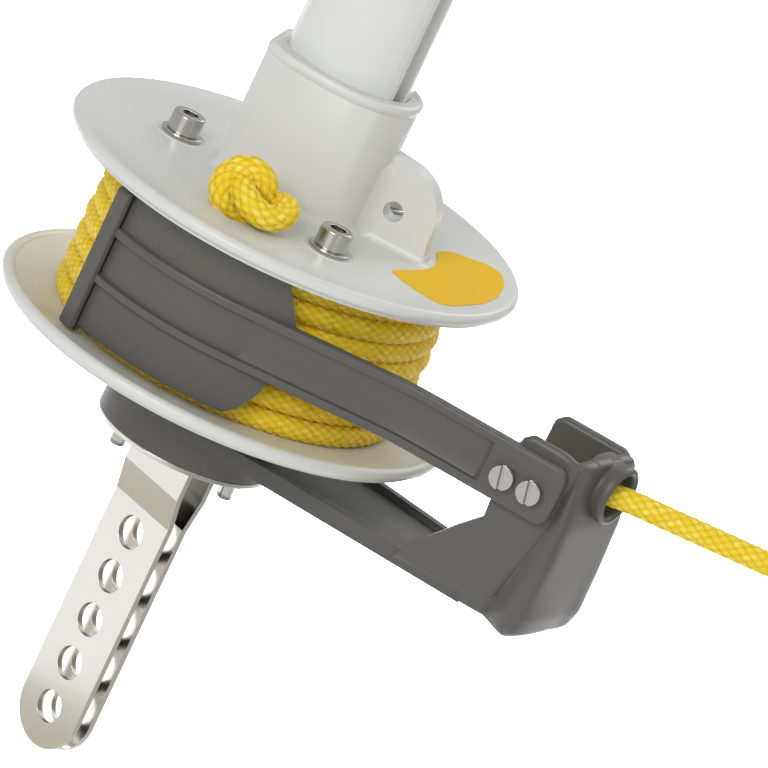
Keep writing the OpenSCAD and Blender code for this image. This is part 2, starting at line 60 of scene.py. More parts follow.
# ---- Camera, floor and light --------------------------------------------------------------
# The furler hangs in a plain white studio. The camera stands 1.56 m off with a long lens,
# looks down by 18 degrees and is rolled by 26, so that the stay leans to the right.
camera_turn = math.radians(13)
camera_drop = math.radians(17.745)
camera_roll = math.radians(25.642)
camera_distance = 1.564
camera_lens = 295.8
aim_across, aim_height = 0.039007, 0.114761


def turned(x, y, z, angle=camera_turn):
    """The point (x, y, z) turned about the stay by the given angle."""
    return Vector((x * math.cos(angle) - y * math.sin(angle), x * math.sin(angle) + y * math.cos(angle), z))


look = turned(0, math.cos(camera_drop), -math.sin(camera_drop))
level = turned(1, 0, 0)
upward = turned(0, math.sin(camera_drop), math.cos(camera_drop))
camera_x = level * math.cos(camera_roll) + upward * math.sin(camera_roll)
camera_y = upward * math.cos(camera_roll) - level * math.sin(camera_roll)
camera_place = turned(aim_across, 0, aim_height) - look * camera_distance
camera = bpy.data.objects.new("camera", bpy.data.cameras.new("camera"))
camera.data.lens = camera_lens
camera.data.sensor_width = 36
camera.data.clip_end = 100
rotation = Matrix((camera_x, camera_y, -look)).transposed().to_4x4()
camera.matrix_world = Matrix.Translation(camera_place) @ rotation
bpy.context.scene.collection.objects.link(camera)
bpy.context.scene.camera = camera
bpy.context.scene.view_settings.view_transform = "Standard"


def shader(name, colour, roughness, **sockets):
    """A new material with one Principled shader, and the given constants on its sockets."""
    material = bpy.data.materials.new(name)
    material.use_nodes = True
    principled = material.node_tree.nodes["Principled BSDF"]
    principled.inputs["Base Color"].default_value = (*colour, 1)
    principled.inputs["Roughness"].default_value = roughness
    for socket, value in sockets.items():
        principled.inputs[socket.replace("_", " ")].default_value = value
    return material, material.node_tree, principled


floor_mesh = bpy.data.meshes.new("floor")
floor_mesh.from_pydata([(-9, -9, -0.42), (9, -9, -0.42), (9, 9, -0.42), (-9, 9, -0.42)], [], [(0, 1, 2, 3)])
floor = bpy.data.objects.new("floor", floor_mesh)
bpy.context.scene.collection.objects.link(floor)
floor_mesh.materials.append(shader("pale_floor", (0.93, 0.93, 0.93), 0.9)[0])

world = bpy.data.worlds.new("studio")
world.use_nodes = True
world.node_tree.nodes["Background"].inputs["Color"].default_value = (1, 1, 1, 1)
world.node_tree.nodes["Background"].inputs["Strength"].default_value = 0.52
bpy.context.scene.world = world

# Softboxes: name, place, what each is aimed at, width, height and power in watts
softboxes = [
    ("key", (-0.25, -1.6, 1.05), (0.03, 0, 0.1), 0.9, 0.9, 17),
    ("fill", (1.3, -1.2, 0.45), (0.03, 0, 0.1), 0.8, 1.2, 3),
    ("back", (0.5, 1.4, 1.1), (0.03, 0, 0.1), 1.2, 0.6, 6.5),
    ("floor_wash", (-0.45, 2.1, 1.2), (-0.45, 2.1, -0.42), 3.0, 3.0, 60),
    ("floor_front", (-1.5, -0.7, 0.5), (-1.5, -0.7, -0.42), 1.6, 1.6, 3),
]
for name, place, aim, width, height, power in softboxes:
    light = bpy.data.objects.new(name, bpy.data.lights.new(name, "AREA"))
    light.data.shape = "RECTANGLE"
    light.data.size, light.data.size_y = width, height
    light.data.energy = power
    light.location = place
    light.rotation_mode = "QUATERNION"
    light.data.spread = math.radians(90 if name.startswith("floor") else 180)
    light.rotation_quaternion = (Vector(place) - Vector(aim)).to_track_quat("Z", "Y")
    bpy.context.scene.collection.objects.link(light)

# A warm grey card low on the left, out of the camera's sight: the polished fork mirrors it
card_across, card_up = Vector((0.39, -0.92, 0)) * 0.3, Vector((0, 0, 1))
card_middle = Vector((-0.235, -0.1, -0.24))
card_mesh = bpy.data.meshes.new("grey_card")
card_mesh.from_pydata([tuple(card_middle + card_across * a + card_up * b) for a, b in
                       ((-1, -0.17), (1, -0.17), (1, 0.145), (-1, 0.145))], [], [(0, 1, 2, 3)])
card = bpy.data.objects.new("grey_card", card_mesh)
bpy.context.scene.collection.objects.link(card)
card_mesh.materials.append(shader("grey_card", (0.6, 0.585, 0.49), 0.9)[0])
card.visible_camera = card.visible_shadow = card.visible_diffuse = False

# ---- Furling line -------------------------------------------------------------------------
# The line is a 6 mm double braid of yellow polyester, plaited from sixteen flat strands. It
# leaves the drum behind the guard, runs dead straight through the fairlead's eye and is held
# taut; it ends in an overhand knot.
line_radius = 0.003
braid_pitch = 0.0033
strands_each_way = 8
line_route = [(8.8, -42, 118.5), (29, -37.8, 120.6), (49, -33.7, 122.7), (69, -29.5, 124.8),
              (89, -25.3, 126.9), (109.5, -21, 129.1), (122, -18.4, 129.6), (134, -15.9, 130),
              (146, -13.4, 130.4), (158, -10.9, 130.8)]


def smooth_path(points, spacing, rounds=0):
    """Points in mm joined by a Catmull-Rom curve, softened by repeated averaging of each point
    with its neighbours, and resampled at an even spacing; the result is in metres."""
    p = np.array(points, float) / 1000
    p = np.vstack([2 * p[0] - p[1], p, 2 * p[-1] - p[-2]])
    t = np.linspace(0, 1, 24, endpoint=False)[None, :, None]
    a, b, c, d = (p[i:len(p) - 3 + i][:, None, :] for i in range(4))
    curve = 0.5 * (2 * b + (c - a) * t + (2 * a - 5 * b + 4 * c - d) * t**2 + (3 * b - a - 3 * c + d) * t**3)
    curve = np.vstack([curve.reshape(-1, 3), p[-2]])
    for _ in range(rounds):
        curve[1:-1] = (curve[:-2] + curve[1:-1] + curve[2:]) / 3
    run = np.concatenate([[0], np.cumsum(np.linalg.norm(np.diff(curve, axis=0), axis=1))])
    even = np.linspace(0, run[-1], max(2, int(run[-1] / spacing)))
    return np.stack([np.interp(even, run, curve[:, k]) for k in range(3)], 1)


def carried_frames(path):
    """Tangents of a path, and two normals carried along it without twist: each pair is the one
    before it, made square to the new tangent."""
    tangent = np.gradient(path, axis=0)
    tangent /= np.linalg.norm(tangent, axis=1, keepdims=True)
    start = np.array([0, 0, 1.0]) if abs(tangent[0][2]) < 0.9 else np.array([1.0, 0, 0])
    normal = np.empty_like(path)
    for i, along in enumerate(tangent):
        start = start - along * (start @ along)
        start /= np.linalg.norm(start)
        normal[i] = start
    return tangent, normal, np.cross(tangent, normal)


def braid_height(turn, run):
    """Height of the braid, 0 in its valleys and 1 on its crowns, and a chance value from 0 to 1
    for each visible pick. Two families of strands cross; where both strand numbers add up to an
    even one the first family is on top, and each strand is a pillow that dips at its two ends."""
    p = strands_each_way * turn / (2 * np.pi) + run / braid_pitch
    q = strands_each_way * turn / (2 * np.pi) - run / braid_pitch
    first = (np.floor(p) + np.floor(q)) % 2 == 0
    across = np.where(first, p % 1, q % 1) * 2 - 1
    along = np.where(first, q % 1, p % 1) * 2 - 1
    height = (1 - across**6) * (1 - 0.6 * along**2)
    return height, np.sin(np.floor(p) * 12.99 + np.floor(q) * 78.23) * 437.58 % 1


def new_piece(name, grid, wrap_u=False, wrap_v=False, caps=False, values=None, uv=None):
    """A mesh object from a grid of points, rows by columns, that can be closed either way or
    capped at the ends of its rows. A solid whose faces point inwards is turned inside out."""
    rows, cols = grid.shape[:2]
    i, j = np.meshgrid(np.arange(rows - (not wrap_u)), np.arange(cols - (not wrap_v)), indexing="ij")
    i2, j2 = (i + 1) % rows, (j + 1) % cols
    quads = np.stack([i * cols + j, i * cols + j2, i2 * cols + j2, i2 * cols + j], -1).reshape(-1, 4)
    faces = quads.tolist()
    if caps:
        faces += [list(range(cols))[::-1], [(rows - 1) * cols + k for k in range(cols)]]
    mesh = bpy.data.meshes.new(name)
    mesh.from_pydata(grid.reshape(-1, 3).tolist(), [], faces)
    for key, numbers in (values or {}).items():
        mesh.attributes.new(key, "FLOAT", "POINT").data.foreach_set("value", numbers.ravel().astype(np.float32))
    if uv is not None:
        layer = mesh.uv_layers.new(name="UVMap")
        corner = np.empty(len(mesh.loops), np.int32)
        mesh.loops.foreach_get("vertex_index", corner)
        layer.data.foreach_set("uv", uv.reshape(-1, 2)[corner].astype(np.float32).ravel())
    mesh.polygons.foreach_set("use_smooth", np.ones(len(mesh.polygons), bool))
    if wrap_v and (caps or wrap_u):
        form = bmesh.new()
        form.from_mesh(mesh)
        if form.calc_volume(signed=True) < 0:
            mesh.flip_normals()
        form.free()
    made = bpy.data.objects.new(name, mesh)
    bpy.context.scene.collection.objects.link(made)
    return made


def braided(name, path, around=40, turn_from=0.0, turn_to=2 * np.pi, radius=line_radius):
    """A braided rope: a circle carried along the path, its radius 13 % less in the valleys of
    the braid than on its crowns. A part turn leaves the hidden back of the rope open."""
    tangent, normal, side = carried_frames(path)
    closed = turn_to - turn_from > 6.28
    turn = np.linspace(turn_from, turn_to, around, endpoint=not closed)
    run = np.concatenate([[0], np.cumsum(np.linalg.norm(np.diff(path, axis=0), axis=1))])
    turn, run = np.meshgrid(turn, run)
    height, pick = braid_height(turn, run)
    reach = radius * (0.84 + 0.16 * height)
    grid = path[:, None] + reach[..., None] * (
        np.cos(turn)[..., None] * normal[:, None] + np.sin(turn)[..., None] * side[:, None])
    uv = np.stack([turn / (2 * np.pi), run / (2 * np.pi * radius)], -1)
    return new_piece(name, grid, wrap_v=closed, caps=closed, values={"crown": height, "pick": pick}, uv=uv)


def rope_material():
    """Yellow polyester braid, with painted shade and painted highlights in its colour: darker gold in the valleys
    and lemon on the crowns, with pale painted glints on some crowns where the filaments would catch the light;
    fine filament lines along both lays and a soft sheen."""
    material, tree, principled = shader("yellow_rope", (0.8, 0.56, 0.03), 0.5, Specular_IOR_Level=0.4)
    principled.inputs["Sheen Weight"].default_value = 0.25
    principled.inputs["Sheen Roughness"].default_value = 0.4
    principled.inputs["Sheen Tint"].default_value = (1, 0.9, 0.4, 1)
    make, link = tree.nodes.new, tree.links.new
    crown = make("ShaderNodeAttribute")
    crown.attribute_name = "crown"
    # Painted shade: the base colour runs from dark gold in the braid's valleys to lemon on its crowns.
    crown_shade_ramp = make("ShaderNodeValToRGB")
    crown_shade_ramp.color_ramp.elements[0].color = (0.6, 0.34, 0.007, 1)
    crown_shade_ramp.color_ramp.elements[1].color = (0.88, 0.65, 0.01, 1)
    middle = crown_shade_ramp.color_ramp.elements.new(0.4)
    middle.color = (0.78, 0.51, 0.008, 1)
    link(crown.outputs["Fac"], crown_shade_ramp.inputs["Fac"])
    place = make("ShaderNodeTexCoord")
    chance = make("ShaderNodeAttribute")
    chance.attribute_name = "pick"
    glint = make("ShaderNodeMapRange")
    glint.inputs["From Min"].default_value, glint.inputs["From Max"].default_value = 0.35, 1.0
    link(chance.outputs["Fac"], glint.inputs["Value"])
    shine = make("ShaderNodeMapRange")
    shine.inputs["From Min"].default_value, shine.inputs["From Max"].default_value = 0.55, 1.0
    link(crown.outputs["Fac"], shine.inputs["Value"])
    both = make("ShaderNodeMath")
    both.operation = "MULTIPLY"
    link(glint.outputs["Result"], both.inputs[0])
    link(shine.outputs["Result"], both.inputs[1])
    # Painted highlight: pale glints mixed into the base colour on the crowns of chance picks.
    lighter = make("ShaderNodeMix")
    lighter.data_type, lighter.blend_type = "RGBA", "MIX"
    lighter.inputs["B"].default_value = (1, 0.9, 0.24, 1)
    half = make("ShaderNodeMath")
    half.operation = "MULTIPLY"
    half.inputs[1].default_value = 0.5
    link(both.outputs["Value"], half.inputs[0])
    link(half.outputs["Value"], lighter.inputs["Factor"])
    link(crown_shade_ramp.outputs["Color"], lighter.inputs["A"])
    link(lighter.outputs["Result"], principled.inputs["Base Color"])
    filaments = make("ShaderNodeTexWave")
    filaments.bands_direction = "DIAGONAL"
    filaments.inputs["Scale"].default_value = 22
    filaments.inputs["Distortion"].default_value = 1.5
    link(place.outputs["UV"], filaments.inputs["Vector"])
    bump = make("ShaderNodeBump")
    bump.inputs["Strength"].default_value = 0.35
    bump.inputs["Distance"].default_value = 0.0002
    link(filaments.outputs["Fac"], bump.inputs["Height"])
    link(bump.outputs["Normal"], principled.inputs["Normal"])
    return material


yellow_rope = rope_material()
line_path = smooth_path(line_route, 0.00036)
line = braided("line", line_path, around=44)
line.data.materials.append(yellow_rope)
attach(line, "base")
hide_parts("furling_line")

# ---- End knot -----------------------------------------------------------------------------
# A figure that stands for whatever holds the line outside: an overhand knot, drawn tight, with
# a short tail. It lies in line with the lead.
lead_turn = math.atan2(2.5, 12)
knot_route = [(0, 0, 0), (3, 0.2, 0.6), (6, 1, 3.6), (8.5, -2, 4.2), (8.5, -4.6, 0.5), (5.6, -3.2, -3.6),
              (3.2, 1.2, -4), (3.6, 4.6, -0.5), (7, 3.6, 3), (10, 0.4, 1), (13, 0, 0), (16, 0, 0)]
turn_cos, turn_sin = math.cos(lead_turn), math.sin(lead_turn)
knot_path = [(158 + x * turn_cos - y * turn_sin, -10.9 + x * turn_sin + y * turn_cos, 130.8 + z)
             for x, y, z in knot_route]
end_knot = braided("line_end_knot", smooth_path(knot_path, 0.00036, rounds=12), around=40)
end_knot.data.materials.append(yellow_rope)
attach(end_knot, "base")
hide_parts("end_knot")

# ---- Line wound on the drum ---------------------------------------------------------------
# Seven turns of the same line lie side by side on the hub, a little uneven, as a hand-laid
# winding is. Six ride with the drum; the seventh, which the line leaves from, stays put.
winding_centre_r = 0.0433
turn_heights = [0.1062, 0.1123, 0.1245, 0.1302, 0.1358, 0.1414]
exit_height = 0.1185


def wound(rows, mean_r, waver, seed):
    """Turns of rope about the stay, one ring after the other on one path: the radius and the
    height of each turn waver by sums of two sines with seeded phases."""
    chance = np.random.default_rng(seed)
    step = 0.00043 / mean_r
    turn = np.arange(0, 2 * np.pi * len(rows), step)
    where = turn / (2 * np.pi)
    steps = np.clip((where % 1 - 0.93) / 0.07, 0, 1)
    row = np.floor(where).astype(int).clip(0, len(rows) - 1)
    after = (row + 1).clip(0, len(rows) - 1)
    height = np.take(rows, row) * (1 - steps) + np.take(rows, after) * steps
    phase = chance.uniform(0, 6.28, (4, len(rows)))
    height = height + waver * 0.5 * np.sin(turn + phase[0][row]) * np.sin(np.pi * (where % 1))
    reach = mean_r + waver * (0.6 * np.sin(2 * turn + phase[1][row]) + 0.4 * np.sin(5 * turn + phase[2][row]))
    return np.stack([reach * np.cos(turn + 1.9), reach * np.sin(turn + 1.9), height], 1)


def ring_rope(name, path, around=22):
    """Braided rope round the drum with only its outer three fifths made, since the rest lies
    against the turns below: the circle's turn is counted from the upward direction."""
    outward = path * [1, 1, 0]
    outward /= np.linalg.norm(outward, axis=1, keepdims=True)
    turn = np.linspace(-0.65 * np.pi, 0.65 * np.pi, around)
    run = np.concatenate([[0], np.cumsum(np.linalg.norm(np.diff(path, axis=0), axis=1))])
    turn, run = np.meshgrid(turn, run)
    height, pick = braid_height(turn, run)
    reach = line_radius * (0.82 + 0.2 * height)
    up = np.array([0, 0, 1.0])
    grid = path[:, None] + reach[..., None] * (
        np.cos(turn)[..., None] * outward[:, None] + np.sin(turn)[..., None] * up)
    uv = np.stack([turn / (2 * np.pi), run / (2 * np.pi * line_radius)], -1)
    made = new_piece(name, grid[:, ::-1], values={"crown": height[:, ::-1], "pick": pick[:, ::-1]}, uv=uv[:, ::-1])
    made.data.materials.append(yellow_rope)
    return made


# The hidden inner turns take a low braid height throughout, so they show the dark valley colour: painted shade in
# the gaps between the turns.
core_turn, core_height = np.meshgrid(np.linspace(0, 2 * np.pi, 128, endpoint=False), np.linspace(0.1035, 0.1446, 40))
core_reach = 0.0405 + 0.0003 * np.sin(core_height * 1050)
core = new_piece("inner_turns", np.stack([core_reach * np.cos(core_turn), core_reach * np.sin(core_turn),
                                          core_height], 2), wrap_v=True, caps=True,
                 values={"crown": 0 * core_turn + 0.1, "pick": 0 * core_turn})
core.data.materials.append(yellow_rope)
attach(core, "drum")
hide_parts("line_winding")
winding = ring_rope("winding", wound(turn_heights, winding_centre_r, 0.0005, 7))
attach(winding, "drum")
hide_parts("line_winding")
under_turn = ring_rope("under_turn", wound([exit_height], 0.0368, 0.0, 3))
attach(under_turn, "drum")
exit_turn = ring_rope("exit_turn", wound([exit_height], winding_centre_r, 0.0002, 5))
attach(exit_turn, "base")

# ---- Stopper knot on the deck -------------------------------------------------------------
# The dead end of the line comes up through a hole in the deck and is stopped by an overhand
# knot: one big loop over a lobe that leads to the tail.
knot_centre = Vector((-1.2, -37.5, 155.0))
stopper_route = [(2, -9, 2.5), (-1, -6, 3), (-5, -3.4, 2), (-6.8, -0.4, 0.6), (-6.6, 2.8, 0), (-4.4, 5.4, 0),
                 (-1.4, 6.2, 0), (1.6, 5.2, 0.3), (3.4, 2.4, 1.2), (3.2, -0.6, 3.4), (0.6, -1.2, 4.6),
                 (-2, 0.6, 3), (-2.2, 1.9, -0.5), (-1.2, -0.6, -3.6), (1, -3.8, -4.6), (4.4, -5.8, -3.8),
                 (7.6, -5.4, -1.6), (8.6, -3.4, 1), (6.6, -2.6, 3.4)]
knot_path = [tuple(knot_centre + x * camera_x + y * camera_y + depth * look) for x, y, depth in stopper_route]
start_knot = braided("start_knot_rope", smooth_path(knot_path, 0.00036, rounds=10), around=44,
                     radius=0.0034)
start_knot.data.materials.append(yellow_rope)
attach(start_knot, "drum")
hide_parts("start_knot")

# ---- Base moulding ------------------------------------------------------------------------
# The grey base is one glass-filled nylon moulding: a round housing for the spindle, a flanged
# arm, and an open box at the arm's end that holds the fairlead eye. Its box is soft-cornered.


def outline(points, spacing, rounds, closed=True):
    """A plan outline in mm, resampled at an even spacing and rounded off by repeated averaging
    of each point with its neighbours; and the normals, outwards where it runs anticlockwise."""
    p = np.array(points, float)
    p = np.vstack([p, p[:1]]) if closed else p
    run = np.concatenate([[0], np.cumsum(np.linalg.norm(np.diff(p, axis=0), axis=1))])
    even = np.linspace(0, run[-1], int(run[-1] / spacing) + 1)
    p = np.stack([np.interp(even, run, p[:, k]) for k in range(2)], 1)
    p = p[:-1] if closed else p
    for _ in range(rounds):
        if closed:
            p = (np.roll(p, 1, 0) + p + np.roll(p, -1, 0)) / 3
        else:
            p[1:-1] = (p[:-2] + p[1:-1] + p[2:]) / 3
    ahead = np.roll(p, -1, 0) - np.roll(p, 1, 0) if closed else np.gradient(p, axis=0)
    ahead /= np.linalg.norm(ahead, axis=1, keepdims=True)
    return p, np.stack([ahead[:, 1], -ahead[:, 0]], 1)


def soft_step(value, start, end):
    """0 below the start, 1 above the end, and a smooth cubic between."""
    t = np.clip((value - start) / (end - start), 0, 1)
    return t * t * (3 - 2 * t)


def swept(points, normals, profile):
    """The surface that a profile of (offset, height) pairs makes along a plan outline, in mm."""
    offset, height = np.array(profile, float).T
    plan = points[:, None] + normals[:, None] * offset[None, :, None]
    return np.concatenate([plan, np.broadcast_to(height[None, :, None], plan.shape[:2] + (1,))], 2)


def cut_away(mesh, cutter):
    """The mesh less the cutter's mesh, by one exact Boolean that is applied at once."""
    whole, tool = bpy.data.objects.new("whole", mesh), bpy.data.objects.new("tool", cutter)
    for part in (whole, tool):
        bpy.context.scene.collection.objects.link(part)
    boolean = whole.modifiers.new("cut", "BOOLEAN")
    boolean.operation, boolean.solver, boolean.object = "DIFFERENCE", "EXACT", tool
    bpy.context.view_layer.update()
    result = bpy.data.meshes.new_from_object(whole.evaluated_get(bpy.context.evaluated_depsgraph_get()))
    for part in (whole, tool):
        bpy.data.objects.remove(part)
    return result


def block_mesh(low, high):
    """A plain block between two corners in mm."""
    form = bmesh.new()
    bmesh.ops.create_cube(form, size=1)
    for vert in form.verts:
        vert.co = Vector([(low[k] + high[k]) / 2000 + vert.co[k] * (high[k] - low[k]) / 1000 for k in range(3)])
    mesh = bpy.data.meshes.new("block")
    form.to_mesh(mesh)
    form.free()
    return mesh


def rod_mesh(start, end, radius):
    """A plain rod between two points in mm."""
    form = bmesh.new()
    start, end = Vector(start) / 1000, Vector(end) / 1000
    turn = (end - start).to_track_quat("Z", "Y").to_matrix().to_4x4()
    bmesh.ops.create_cone(form, cap_ends=True, segments=64, radius1=radius / 1000, radius2=radius / 1000,
                          depth=(end - start).length, matrix=Matrix.Translation((start + end) / 2) @ turn)
    mesh = bpy.data.meshes.new("rod")
    form.to_mesh(mesh)
    form.free()
    return mesh


def eased(node, name, width, segments=2, angle=32, cut=None):
    """A piece with the shape of a CAD node and small rounds on its edges: a copy of the node's
    mesh is merged, its flat faces are joined, and a bevel of the given width rounds its edges."""
    mesh = nodes[node].data.copy()
    mesh.materials.clear()
    form = bmesh.new()
    form.from_mesh(mesh)
    bmesh.ops.remove_doubles(form, verts=form.verts, dist=2e-6)
    bmesh.ops.dissolve_limit(form, angle_limit=math.radians(0.6), verts=form.verts, edges=form.edges)
    bmesh.ops.recalc_face_normals(form, faces=form.faces)
    form.to_mesh(mesh)
    form.free()
    if cut is not None:
        mesh = cut_away(mesh, cut)
    mesh.polygons.foreach_set("use_smooth", np.ones(len(mesh.polygons), bool))
    mesh.set_sharp_from_angle(angle=math.radians(angle))
    made = bpy.data.objects.new(name, mesh)
    bpy.context.scene.collection.objects.link(made)
    bevel = made.modifiers.new("eased_edges", "BEVEL")
    bevel.width, bevel.segments = width, segments
    bevel.limit_method, bevel.angle_limit = "ANGLE", math.radians(angle)
    bevel.harden_normals = True
    bevel.use_clamp_overlap = True
    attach(made, nodes[node]["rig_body"])
    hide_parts(node)
    return made


def moulded_material(name, colour, roughness, grain, depth, specular=0.45):
    """Injection-moulded plastic: a little uneven in colour and gloss, with the fine grain of the
    mould as bump."""
    material, tree, principled = shader(name, colour, roughness, Specular_IOR_Level=specular)
    make, link = tree.nodes.new, tree.links.new
    place = make("ShaderNodeTexCoord")
    fine = make("ShaderNodeTexNoise")
    fine.inputs["Scale"].default_value = grain
    fine.inputs["Detail"].default_value = 2
    broad = make("ShaderNodeTexNoise")
    broad.inputs["Scale"].default_value = 35
    broad.inputs["Detail"].default_value = 3
    link(place.outputs["Object"], fine.inputs["Vector"])
    link(place.outputs["Object"], broad.inputs["Vector"])
    tint = make("ShaderNodeMix")
    tint.data_type = "RGBA"
    tint.inputs["A"].default_value = (*[c * 0.94 for c in colour], 1)
    tint.inputs["B"].default_value = (*[min(1, c * 1.05) for c in colour], 1)
    link(broad.outputs["Fac"], tint.inputs["Factor"])
    link(tint.outputs["Result"], principled.inputs["Base Color"])
    rough = make("ShaderNodeMapRange")
    rough.inputs["To Min"].default_value = roughness - 0.05
    rough.inputs["To Max"].default_value = roughness + 0.07
    link(broad.outputs["Fac"], rough.inputs["Value"])
    link(rough.outputs["Result"], principled.inputs["Roughness"])
    bump = make("ShaderNodeBump")
    bump.inputs["Strength"].default_value = 0.3
    bump.inputs["Distance"].default_value = depth
    link(fine.outputs["Fac"], bump.inputs["Height"])
    link(bump.outputs["Normal"], principled.inputs["Normal"])
    return material


def dress(piece, material, body=None, node=None):
    """Gives a piece its material and slot, and, for a new mesh, sharp edges by angle and its body, and hides the
    CAD node that it stands for."""
    piece.data.materials.clear()
    piece.data.materials.append(material)
    if body is not None:
        piece.data.set_sharp_from_angle(angle=math.radians(38))
        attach(piece, body)
        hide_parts(node)


grey_plastic = moulded_material("grey_plastic", (0.091, 0.089, 0.078), 0.4, 2600, 0.00006)
box_start, box_near, box_far, box_top = 85.0, -37.0, -8.6, 137.0
base = eased("base_moulding", "base_and_arm", 0.0005,
             cut=block_mesh((box_start + 1, -45, 80), (115, box_far + 0.05, 142)))
dress(base, grey_plastic)

# ---- Fairlead box and eye -----------------------------------------------------------------
# The box is part of the same moulding. Its outer end wraps round the corner as a thicker, very
# rounded shell that ends in a fine step on the near wall, and swells into the eye's boss.
box_corners = [(box_start, box_near), (101.7, box_near), (107.2, box_far), (box_start, box_far)]
near_rounds, far_rounds, floor_rounds = 100, 30, 520
wide_plan, wide_out = outline(box_corners, 0.35, near_rounds, closed=False)
tight_plan, tight_out = outline(box_corners, 0.35, far_rounds, closed=False)
to_far = soft_step(tight_plan[:, 1], -20, -12)[:, None]
box_plan = wide_plan * (1 - to_far) + tight_plan * to_far
box_out = wide_out * (1 - to_far) + tight_out * to_far
low_plan = outline(box_corners, 0.35, floor_rounds, closed=False)[0] * (1 - to_far) + tight_plan * to_far
shell_proud, groove_deep = 0.75, 0.45
step_x, step_z, step_corner_r = 96.4, 96.4, 4


def wall_profile(corners):
    """150 points (inward distance, height) down a wall of the box and under its floor."""
    smooth = outline(corners, 0.4, 5, closed=False)[0]
    even = np.linspace(0, len(smooth) - 1, 150)
    return np.stack([np.interp(even, np.arange(len(smooth)), smooth[:, k]) for k in range(2)], 1)


near_wall = wall_profile([(-0.04, box_top), (-0.04, 117), (10.46, 90), (10.8, 87.6), (11.6, 87), (14.4, 87)])
end_wall = wall_profile([(0, box_top), (-0.3, 130), (-1.8, 120), (-2.4, 105), (-2.6, 94), (-1.6, 89.6), (1.5, 87.2),
                         (5, 87), (14.4, 87)])
far_wall = wall_profile([(0, box_top), (0, 105), (0, 91), (1.2, 88.2), (4, 87), (14.4, 87)])
heart = np.stack([np.clip(box_plan[:, 0], 0, 91), np.full(len(box_plan), -22.6)], 1)


def box_skin(inset):
    """A skin of the box, from its rim to its floor: each wall has its own profile, and between
    walls the three profiles are mixed by how far the wall faces the end. Towards the floor the
    corners grow rounder. The outer skin stands proud beyond a line with a round lower corner,
    where the end shell begins, and a shallow groove runs along the foot of that step."""
    to_end = soft_step(box_out[:, 0], 0.35, 0.985)[:, None, None]
    side = np.where(box_out[:, 1, None, None] < 0, near_wall[None], far_wall[None])
    fall = side * (1 - to_end) + end_wall[None] * to_end
    height = fall[..., 1] if inset == 0 else 90 + (fall[..., 1] - 87) * (box_top - 90) / (box_top - 87)
    inward, proud = fall[..., 0], 0 * fall[..., 0]
    if inset == 0:
        beyond_x = box_plan[:, 0, None] - step_x
        below_z = step_z - height
        in_corner = (beyond_x > 0) & (below_z > 0)
        beyond = np.where(in_corner, np.hypot(beyond_x, below_z), np.maximum(beyond_x, below_z)) - step_corner_r
        shell = soft_step(beyond, 0, 0.5) * soft_step(box_plan[:, 0, None], box_start, box_start + 4)
        groove = groove_deep * np.exp(-((beyond + 0.15) / 0.4) ** 2) * soft_step(height, 134, 128)
        proud = np.where(box_plan[:, 1, None] < -20, shell_proud * shell - groove, shell_proud)
    to_heart = (inward / 14.4)[..., None]
    low = 1 - soft_step(height, 89, 112)[..., None]
    plan = box_plan[:, None] * (1 - low) + low_plan[:, None] * low - (box_out * inset)[:, None]
    plan = plan * (1 - to_heart) + heart[:, None] * to_heart
    plan = plan + box_out[:, None] * (proud * (1 - to_heart[..., 0]))[..., None]
    return np.concatenate([plan, height[..., None]], 2)


outer, inner = box_skin(0), box_skin(3)
rim_turn = np.linspace(0, np.pi, 9)[None, :, None]
middle, half = (outer[:, :1] + inner[:, :1]) / 2, (outer[:, :1] - inner[:, :1]) / 2
crown = 1.3 * np.sin(rim_turn) * np.array([0, 0, 1.0])
dip = -0.9 * np.exp(-((box_plan[:, 0] - 100) / 2.6) ** 2) * (box_plan[:, 1] < -30)
dip = dip - 2.2 * (1 - soft_step(box_plan[:, 0], 84, 87.5)) - 2.0 * soft_step(box_plan[:, 1], -13, -9) * soft_step(
    box_plan[:, 0], 103, 107)
rim = middle + half * np.cos(rim_turn) + crown
for skin in (outer, inner, rim):
    skin[..., 2] += (dip[:, None] - 1.3) * soft_step(skin[..., 2], 118, 135)
below = np.concatenate([heart, np.full((len(heart), 1), 87.0)], 1)[:, None]
above = below + [0, 0, 3]
loop = np.concatenate([below, outer[:, ::-1], rim[:, 1:-1], inner, above], 1)
box = new_piece("fairlead_box", loop * 0.001, wrap_v=True, caps=True)
eye_place = Vector((109.8, -21.5, 129.1))
eye_lead = Vector((math.cos(math.radians(-11)), math.sin(math.radians(-11)), 0))
box.data = cut_away(box.data, rod_mesh(eye_place - eye_lead * 12, eye_place + eye_lead * 3, 6.6))
box.data.polygons.foreach_set("use_smooth", np.ones(len(box.data.polygons), bool))
dress(box, grey_plastic, "base", "base_moulding")

eye_turn = np.linspace(0, 2 * np.pi, 96, endpoint=False)[:, None]
fillet = 0.35 + 2.7 * (1 - np.clip(np.cos(eye_turn), 0, 1) ** 2)
eye_profile = np.array([(-8.6, 7.2), (-8.3, 6.5), (-7.6, 5.95), (-6, 5.75), (-2, 5.7), (-0.9, 5.8), (-0.3, 6.15),
                        (0, 6.75), (-0.15, 7.35), (-0.7, 7.8), (-1.6, 7.85), (-2.8, 7.6)])
eye_run = np.broadcast_to(eye_profile[:, 0], (96, 12))
eye_reach = np.broadcast_to(eye_profile[:, 1], (96, 12))
bend = np.linspace(0, np.pi / 2, 8)[None]
eye_run = np.concatenate([eye_run, -3.4 - 1.9 * np.sin(bend) + 0 * fillet, np.full((96, 1), -8.6)], 1)
eye_reach = np.concatenate([eye_reach, 7.6 + fillet * (1 - np.cos(bend)), 7.6 + fillet], 1)
eye_side = np.array([-eye_lead.y, eye_lead.x, 0])
